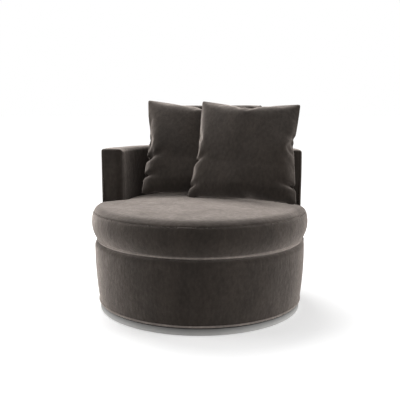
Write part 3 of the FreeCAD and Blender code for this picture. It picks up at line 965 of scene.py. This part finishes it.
def split_long(obj):
    """Halves the long edges, so that a flat face can follow a curved skin."""
    edit(obj)
    bpy.ops.mesh.select_mode(type="EDGE")
    bpy.ops.mesh.select_all(action="DESELECT")
    bpy.ops.object.mode_set(mode="OBJECT")
    points = obj.data.vertices
    for e in obj.data.edges:
        e.select = (points[e.vertices[0]].co - points[e.vertices[1]].co).length > LONG
    bpy.ops.object.mode_set(mode="EDIT")
    bpy.ops.mesh.subdivide(number_cuts=1)
    bpy.ops.mesh.select_mode(type="VERT")
    bpy.ops.object.mode_set(mode="OBJECT")


def hold_back(obj):
    """Keeps the foam of the arms and back a margin inside the faces of the horseshoe."""
    first, last = (math.radians(back_angle(step)) for step in (BACK_FIRST, BACK_LAST))
    for v in obj.data.vertices:
        reach, angle, z = reach_of(v.co), math.atan2(v.co.y, v.co.x), v.co.z
        if z > DRUM_TOP + 0.02:
            reach = min(max(reach, RING_IN + MARGIN), RING_OUT - MARGIN)
        if z > ARM_Z - MARGIN:
            if first - 0.03 < angle < last + 0.03:
                z = min(z, BACK_Z - MARGIN)
                angle = min(max(angle, first + MARGIN / reach), last - MARGIN / reach)
            else:
                z = ARM_Z - MARGIN
        v.co = Vector((reach * math.cos(angle), max(reach * math.sin(angle), MARGIN), z))
    obj.data.update()


def clear_of_seam(obj):
    """Draws the wadding in where the seat's top seam is turned in."""
    limit = SEAT_R - 0.028
    for v in obj.data.vertices:
        if abs(v.co.z - SEAM_Z) < 0.015 and reach_of(v.co) > limit:
            set_reach(v, limit)


def clear_of_joint(obj):
    """Draws foam in round the drum, most of all where the drum meets the arms and back."""
    for v in obj.data.vertices:
        reach = reach_of(v.co)
        at_joint = abs(v.co.z - DRUM_TOP) < ROLL + 0.004
        limit = DRUM_R - 0.012 if at_joint else reach - 0.003
        if reach > 0.435 and reach > limit and v.co.z < DRUM_TOP + 0.03:
            set_reach(v, limit)


node_body = {n: b for b, names in frame["record"]["behaviour"]["bodies"].items() for n in names}
for node_name, (name, mat) in LAYERS.items():
    source = frame["nodes"][node_name]
    obj = bpy.data.objects.new(name, source.data.copy())
    obj.data.name = name
    obj.data.transform(source.matrix_world)
    bpy.context.scene.collection.objects.link(obj)
    edit(obj)
    bpy.ops.mesh.remove_doubles(threshold=1e-5)
    bpy.ops.object.mode_set(mode="OBJECT")
    if node_name in TUCKED:
        for _ in range(3):
            split_long(obj)
        tuck(obj, *TUCKED[node_name])
    if node_name in ("inside_padding", "outside_padding"):
        hold_back(obj)
    if node_name == "seat_cushion_wrap":
        clear_of_seam(obj)
    if node_name in ("drum_padding", "outside_padding"):
        clear_of_joint(obj)
    smooth(obj, 35)
    finish(obj, mat, node_body[node_name], slots[node_name], node_name)

# %% [markdown]
# The studio is a pale floor under a broad soft light from above, with a softbox on either side
# and an even pale sky. Level velvet then looks pale and upright velvet dark, as pile does. The
# floor and the sky turn white for the camera alone, so the background is white without more
# light on the chair.

# %% Floor, lights and camera
FLOOR_NEAR, FLOOR_FAR, SKY = 0.33, 0.72, 0.45
WHITE = (1, 1, 1, 1)
clear()
bpy.ops.mesh.primitive_circle_add(vertices=96, radius=80, fill_type="NGON", location=(0, 0, 0))
floor = bpy.context.object
floor.name = floor.data.name = "studio_floor"
mat, tree, shader, coords = shaded("Studio_floor")
shader.inputs["Base Color"].default_value = (0.80, 0.80, 0.80, 1)
shader.inputs["Roughness"].default_value = 0.9
shader.inputs["Specular IOR Level"].default_value = 0.1
glow = node(tree, "Emission", Color=WHITE)
path = node(tree, "LightPath")
distance = tree.nodes.new("ShaderNodeVectorMath")
distance.operation = "LENGTH"
link(tree, coords.outputs["Object"], distance.inputs[0])
lift = node(tree, "MapRange", From_Min=0.4, From_Max=2.2, To_Min=FLOOR_NEAR, To_Max=FLOOR_FAR)
link(tree, distance.outputs["Value"], lift.inputs["Value"])
seen = times(tree, path.outputs["Is Camera Ray"], lift.outputs["Result"])
link(tree, seen, glow.inputs["Strength"])
both = tree.nodes.new("ShaderNodeAddShader")
link(tree, shader.outputs["BSDF"], both.inputs[0])
link(tree, glow.outputs["Emission"], both.inputs[1])
link(tree, both.outputs["Shader"], tree.nodes["Material Output"].inputs["Surface"])
floor.data.materials.append(mat)

world = bpy.data.worlds.new("Studio")
bpy.context.scene.world = world
world.use_nodes = True
tree = world.node_tree
sky = tree.nodes["Background"]
sky.inputs["Color"].default_value = WHITE
sky.inputs["Strength"].default_value = SKY
white = node(tree, "Background", Color=WHITE, Strength=1.0)
ray = node(tree, "LightPath")
either = node(tree, "MixShader")
link(tree, ray.outputs["Is Camera Ray"], either.inputs["Fac"])
link(tree, sky.outputs["Background"], either.inputs[1])
link(tree, white.outputs["Background"], either.inputs[2])
link(tree, either.outputs["Shader"], tree.nodes["World Output"].inputs["Surface"])

AIM = (0, 0, 0.4)
LAMPS = {"overhead_softbox": ((-0.9, 1.1, 3.0), 2.2, 86),      # place, size in m, power in W
         "left_softbox": ((-3.4, -0.5, 1.3), 2.2, 54),
         "right_softbox": ((3.4, -0.4, 1.0), 2.0, 62)}
for name, (at, size, power) in LAMPS.items():
    clear()
    bpy.ops.object.light_add(type="AREA", location=at)
    light = bpy.context.object
    light.name = name
    light.data.shape, light.data.size, light.data.energy = "DISK", size, power
    light.rotation_euler = (Vector(AIM) - Vector(at)).to_track_quat("-Z", "Y").to_euler()

CAMERA_AT = (0.2799, -2.6633, 0.8596)
TURN, PITCH = 5.97, 8.367        # degrees to the right of the front, and down
SENSOR, LENS = 36.0, 54.4        # in mm
clear()
bpy.ops.object.camera_add(location=CAMERA_AT)
camera = bpy.context.object
camera.name = "camera"
camera.rotation_euler = (math.radians(90 - PITCH), 0, math.radians(TURN))
camera.data.sensor_width, camera.data.lens = SENSOR, LENS
bpy.context.scene.camera = camera
bpy.context.scene.view_settings.view_transform = "Standard"
print(len(LAMPS), "lamps; camera at", CAMERA_AT)
